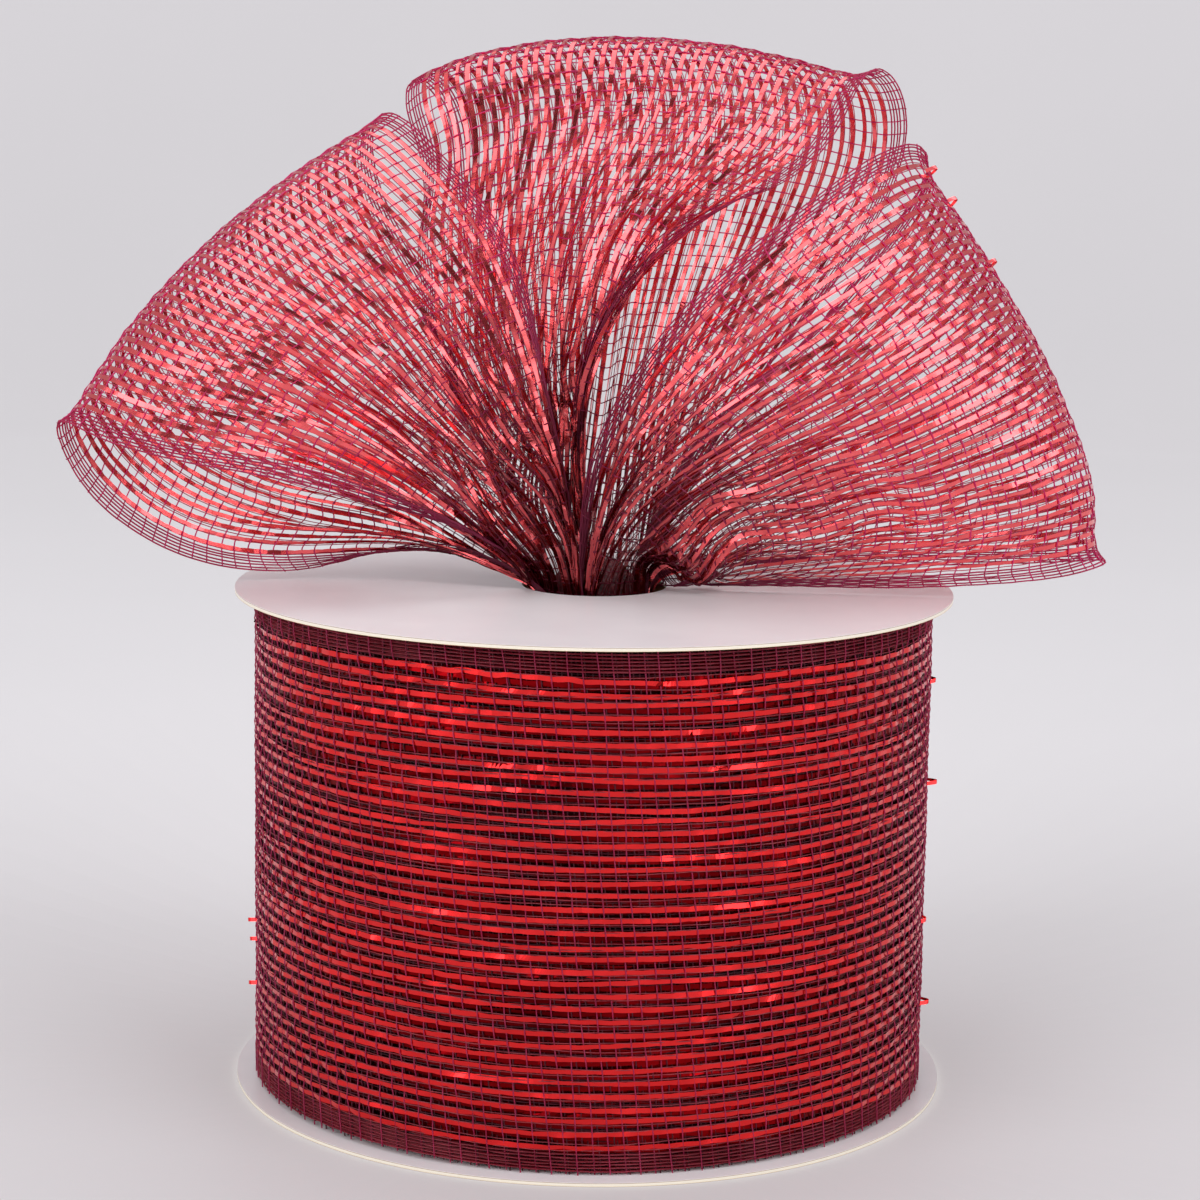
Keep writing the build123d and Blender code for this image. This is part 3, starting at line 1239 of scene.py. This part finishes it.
@dataclass
class Bow:
    """The bow: three loops, their gathered neck with its tie, and the ribbon's two cut ends."""

    ribbon: MeshRibbon
    flange_top: float
    waist: float
    foot: float

    def loops(self) -> list[RibbonLoop]:
        """Sets the three loops.

        Returns:
            The loops, each with its rails.
        """
        neck = NeckShape(self.flange_top, self.waist)
        snagged = replace(self.ribbon, snags=CREST_SNAGS)
        return [
            RibbonLoop(name, *rails, neck, snagged if name == "right_loop" else self.ribbon, seed)
            for name, (seed, *rails) in LOOP_RAILS.items()
        ]

    def build(self, finishes: Finishes) -> None:
        """Builds the loops, the neck, the tie and the tails.

        Args:
            finishes: the part's finishes.
        """
        for loop in self.loops():
            loop.build(finishes)
        self.build_neck(finishes)
        self.build_tie(finishes)
        self.build_tails(finishes)

    def build_neck(self, finishes: Finishes) -> None:
        """Fills the gather with a fluted heart, painted dark as the shade between the ribbon's own folds."""
        profile = [
            (0.5, self.foot), (7.2, self.foot), (7.6, self.waist), (9.0, self.flange_top - 4),
            (8.5, self.flange_top + 1), (5.0, self.flange_top + 5), (0.5, self.flange_top + 7),
        ]
        heart = revolved("neck_heart", profile, 120, flutes=24, depth=0.06)
        heart.data.materials.append(finishes.heart)
        claim(heart, Body.BOW, "bow_neck")
        log.info("neck: heart of the gather")

    def build_tie(self, finishes: Finishes) -> None:
        """Twists the tie's two wire ends round each other down the front of the neck."""
        low, high = node_corners("tie_twist")
        centre = (low + high) / 2
        samples, twists, sides, wire, gap = 60, 4, 8, 0.45, 0.2
        share = np.linspace(0, 1, samples)
        height = high.z - gap - share * (high.z - low.z - 2 * gap)
        spread = wire * (1 + 0.6 * np.clip(share * 6 - 5, 0, 1))
        threads = ThreadMesh()
        for start in (0.0, math.pi):
            turn = share * FULL_TURN * twists + start
            x, y = centre.x + spread * np.cos(turn), centre.y + spread * np.sin(turn)
            line = np.stack([x, y, height], axis=-1)[None]
            side = np.broadcast_to([1.0, 0.0, 0.0], line.shape)
            up = np.broadcast_to([0.0, 1.0, 0.0], line.shape)
            threads.tube(line, side, up, wire, Thread.FOIL, np.arange(sides) * FULL_TURN / sides)
        claim(threads.piece("tie_twisted_ends", [finishes.tie]), Body.BOW, "tie_twist")
        log.info("tie: twisted ends")

    def build_tails(self, finishes: Finishes) -> None:
        """Folds each cut end of the ribbon back and forth under the tie."""
        rows, columns, folds = 16, 57, 3.0
        across = np.linspace(0, 1, columns)[None]
        down = np.linspace(0, 1, rows)[:, None]
        for name, side, seed in (("front_tail", -1, 11), ("back_tail", 1, 12)):
            low, high = node_corners(name)
            rng = np.random.default_rng(seed)
            length = self.waist - low.z
            half = ((high.x - low.x) / 2 - 0.6) * (0.72 + 0.28 * down)
            x = half * np.sin(FULL_TURN * folds * across + 0.5 * down)
            depth = (high.y - low.y) - 1.4
            y = side * (1.2 + depth * (0.75 + 0.25 * down) * across) + rng.normal(0, 0.08, (rows, columns))
            z = self.waist - length * down + 0 * across
            surface = GridSurface(np.stack([x, y, z], axis=-1), length, self.ribbon.width)
            piece = self.ribbon.weave(f"{name}_ribbon", surface, length, seed, finishes.lit_loose_set())
            claim(piece, Body.BOW, name)
            log.info("%s: %.0f mm of ribbon", name, length)


@dataclass
class Winding:
    """The wound ribbon: the turn that shows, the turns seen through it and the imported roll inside."""

    ribbon: MeshRibbon
    radius: float
    floor: float
    ceiling: float
    core_radius: float
    turn: float = 0.62
    under_shifts: tuple = (-0.8, 0.5)
    under_sag: float = 0.4
    outer_sag: float = 0.28
    end_sag: float = 0.2
    outer_inset: float = 0.15
    end_inset: float = 0.1

    def build(self, finishes: Finishes) -> None:
        """Builds the roll, the under turns, the outer turn and the lapped end.

        Args:
            finishes: the part's finishes.
        """
        floor = (self.floor + self.ceiling - self.ribbon.width) / 2
        packed = self.radius - self.turn * (len(self.under_shifts) + 0.9)
        start, rounded = self.core_radius + 0.05, self.core_radius + 1.2
        low, high, inset = self.floor + 0.4, self.ceiling - 0.4, 1.1
        profile = [
            (start, low + inset), (rounded, low), (packed, low), (packed, high), (rounded, high),
            (start, high - inset),
        ]
        roll = revolved("packed_roll", profile, 256)
        roll.data.materials.append(finishes.wound)
        claim(roll, Body.SPOOL, "ribbon_roll")
        for number, shift in enumerate(self.under_shifts):
            radius = self.radius - self.turn * (number + 1)
            surface = TurnSurface(radius, floor, 1.1 + 0.7 * number, self.under_sag)
            ribbon = replace(self.ribbon, row_shift=shift, samples=2)
            name = f"under_turn_{number + 1}"
            self.wind(ribbon, name, surface, 21 + number, finishes.packed())
        surface = TurnSurface(self.radius - self.outer_inset, floor, math.pi / 2, self.outer_sag)
        snagged = replace(self.ribbon, snags=self.snags(surface.radius))
        woven = finishes.woven()
        self.wind(snagged, "outer_turn_ribbon", surface, 31, woven, "outer_turn")
        _, high_end = node_corners("ribbon_end")
        reach = self.radius + self.turn / 2
        half = math.asin(min(1.0, high_end.x / reach))
        surface = TurnSurface(reach - self.end_inset, floor, math.pi / 2 - half, self.end_sag)
        self.wind(
            self.ribbon, "ribbon_end_lap", surface, 41, woven, "ribbon_end", 2 * half
        )

    def snags(self, radius: float) -> tuple:
        """Places the pulled foils, which stand out on the right and the left of the roll.

        Args:
            radius: the outer turn's radius.

        Returns:
            Each one's place along and across the ribbon, and its height.
        """
        right, left = math.radians(263), math.radians(97)
        return tuple(
            (angle * radius, across, height)
            for angle, across, height in (
                (right, 84.0, 1.2), (right + 0.03, 62.0, 2.2), (right, 15.5, 1.9), (right - 0.05, 34.0, 1.0),
                (left, 31.0, 1.8), (left + 0.03, 27.5, 1.5), (left, 17.5, 1.7),
            )
        )

    def wind(
        self, ribbon: MeshRibbon, name: str, surface: TurnSurface, seed: int, materials: list,
        node: str = "", angle: float = FULL_TURN,
    ) -> None:
        """Weaves one turn, or part of one.

        Args:
            ribbon: the ribbon, with its rows where this turn has them.
            name: the piece's name.
            surface: where the turn lies.
            seed: the seed of its unevenness.
            materials: the ribbon's materials.
            node: the CAD node that it replaces, if any.
            angle: how far it goes round.
        """
        length = angle * surface.radius
        piece = claim(ribbon.weave(name, surface, length, seed, materials), Body.SPOOL, node)
        log.info("%s: %.0f mm of ribbon", name, length)


@dataclass(frozen=True)
class Studio:
    """A back-lit table that curves up all round, three soft boxes and the camera.

    The camera and the lights are placed in metres and degrees, and the table is measured in millimetres.
    """

    distance: float = 0.6077
    height: float = 0.1986
    yaw: float = 0.115
    pitch: float = 9.215
    roll: float = 0.855
    lens_mm: float = 89.0
    sensor_mm: float = 36.0
    near: float = 0.02
    aim: tuple = (0, 0, 0.12)
    room_strength: float = 0.5
    table_radius: float = 1250.0
    table_curve: float = 400.0
    table_rim: float = 560.0
    table_top: float = -0.05
    table_foot: float = -20.0
    table_wall: float = 5.0

    def place_camera(self) -> None:
        """Places the camera a little above the top flange, looking slightly down."""
        yaw, pitch, roll = (math.radians(angle) for angle in (self.yaw, self.pitch, self.roll))
        forward = Vector((math.sin(yaw) * math.cos(pitch), math.cos(yaw) * math.cos(pitch), -math.sin(pitch)))
        level = Vector((math.cos(yaw), -math.sin(yaw), 0))
        upward = level.cross(forward)
        right = level * math.cos(roll) + upward * math.sin(roll)
        upward = upward * math.cos(roll) - level * math.sin(roll)
        data = bpy.data.cameras.new("camera")
        data.sensor_width = self.sensor_mm
        data.lens = self.lens_mm
        data.clip_start = self.near
        camera = link(bpy.data.objects.new("camera", data))
        turn = Matrix((right, upward, -forward)).transposed().to_4x4()
        camera.matrix_world = Matrix.Translation((0, -self.distance, self.height)) @ turn
        bpy.context.scene.camera = camera
        bpy.context.scene.view_settings.view_transform = "Standard"

    def build_sweep(self, finishes: Finishes) -> None:
        """Lays the floor, which curves up into a low wall all round.

        Args:
            finishes: the part's finishes.
        """
        steps, sides = 12, 96
        profile = [(1.0, self.table_top), (self.table_radius, self.table_top)]
        for step in range(1, steps + 1):
            angle = step / steps * math.pi / 2
            reach = self.table_radius + self.table_curve * math.sin(angle)
            profile.append((reach, self.table_curve * (1 - math.cos(angle))))
        inside = self.table_radius + self.table_curve
        outside = inside + self.table_wall
        profile += [(inside, self.table_rim), (outside, self.table_rim)]
        profile += [(outside, self.table_foot), (1.0, self.table_foot)]
        sweep = revolved("paper_sweep", profile, sides)
        sweep.data.materials.append(finishes.sweep)

    def hang_light(self, name: str, place: tuple, size: tuple, power: float) -> None:
        """Hangs one soft box, aimed at the middle of the part.

        Args:
            name: its name.
            place: its place in metres.
            size: its width and height in metres.
            power: its power in watts.
        """
        data = bpy.data.lights.new(name, "AREA")
        data.shape = "RECTANGLE"
        data.size, data.size_y = size
        data.energy = power
        light = link(bpy.data.objects.new(name, data))
        light.location = place
        aim = Vector(self.aim) - Vector(place)
        light.rotation_euler = aim.to_track_quat("-Z", "Y").to_euler()

    def light(self) -> None:
        """Hangs the soft boxes in a white tent that has a dark opening on the camera's side."""
        self.hang_light("left_soft_box", (-0.95, -0.95, 0.75), (1.3, 1.2), 13.0)
        self.hang_light("right_soft_box", (1.05, -0.8, 0.75), (1.2, 1.2), 11.0)
        self.hang_light("top_soft_box", (0.0, 0.1, 1.5), (1.3, 1.3), 8.0)
        world = bpy.data.worlds.new("white_tent")
        world.use_nodes = True
        tree = world.node_tree
        way = add_node(tree, "ShaderNodeTexCoord").outputs["Generated"]
        opening = {0: way, 1: (0.1, -0.86, 0.5)}
        towards = add_node(tree, "ShaderNodeVectorMath", opening, operation="DOT_PRODUCT").outputs["Value"]
        room = tree.nodes["Background"]
        tree.links.new(ramp(tree, towards, ((0.8, "#f2f2f6"), (0.9, "#2c2c34"))), room.inputs["Color"])
        room.inputs["Strength"].default_value = self.room_strength
        bpy.context.scene.world = world


class Spool:
    """The spool's card, paper, glue and tape, and the bow's tie, which all keep their CAD shape."""

    finish_names = {
        "bottom_flange": "card",
        "top_flange": "card",
        "core_tube": "kraft",
        "bottom_glue_bead": "glue",
        "top_glue_bead": "glue",
        "start_tape": "tape",
        "end_tape": "tape",
        "neck_tie": "tie",
    }

    def dress(self, frame: dict, finishes: Finishes) -> None:
        """Gives each node its finish.

        Args:
            frame: the loaded frame.
            finishes: the part's finishes.
        """
        for name, finish in self.finish_names.items():
            material = getattr(finishes, finish)
            for holder in frame["nodes"][name].material_slots:
                holder.material = material
            log.info("%s: %s", name, material.name)


def main() -> None:
    """Builds the studio, the spool, the winding and the bow, in that order."""
    logging.basicConfig(level=logging.INFO, format="%(name)s %(message)s")
    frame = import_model()
    studio = Studio()
    studio.place_camera()
    finishes = Finishes()
    studio.build_sweep(finishes)
    studio.light()
    Spool().dress(frame, finishes)
    roll_low, roll_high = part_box("ribbon_roll")
    turn_low, turn_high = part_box("outer_turn")
    _, top_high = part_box("top_flange")
    tie_low, tie_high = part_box("neck_tie")
    neck_low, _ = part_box("bow_neck")
    _, core_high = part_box("core_tube")
    width = (turn_high[2] - turn_low[2]) / MM
    ribbon = MeshRibbon(width=width)
    wound = MeshRibbon(width=width, rise=0.15, foil_roll=0.09, skew=0.1, crumples=1.0, wander=0.24)
    Winding(wound, turn_high[0] / MM, roll_low[2] / MM, roll_high[2] / MM, core_high[0] / MM).build(finishes)
    waist = (tie_low[2] + tie_high[2]) / 2 / MM
    Bow(ribbon, top_high[2] / MM, waist, neck_low[2] / MM).build(finishes)


if __name__ == "__main__":
    main()
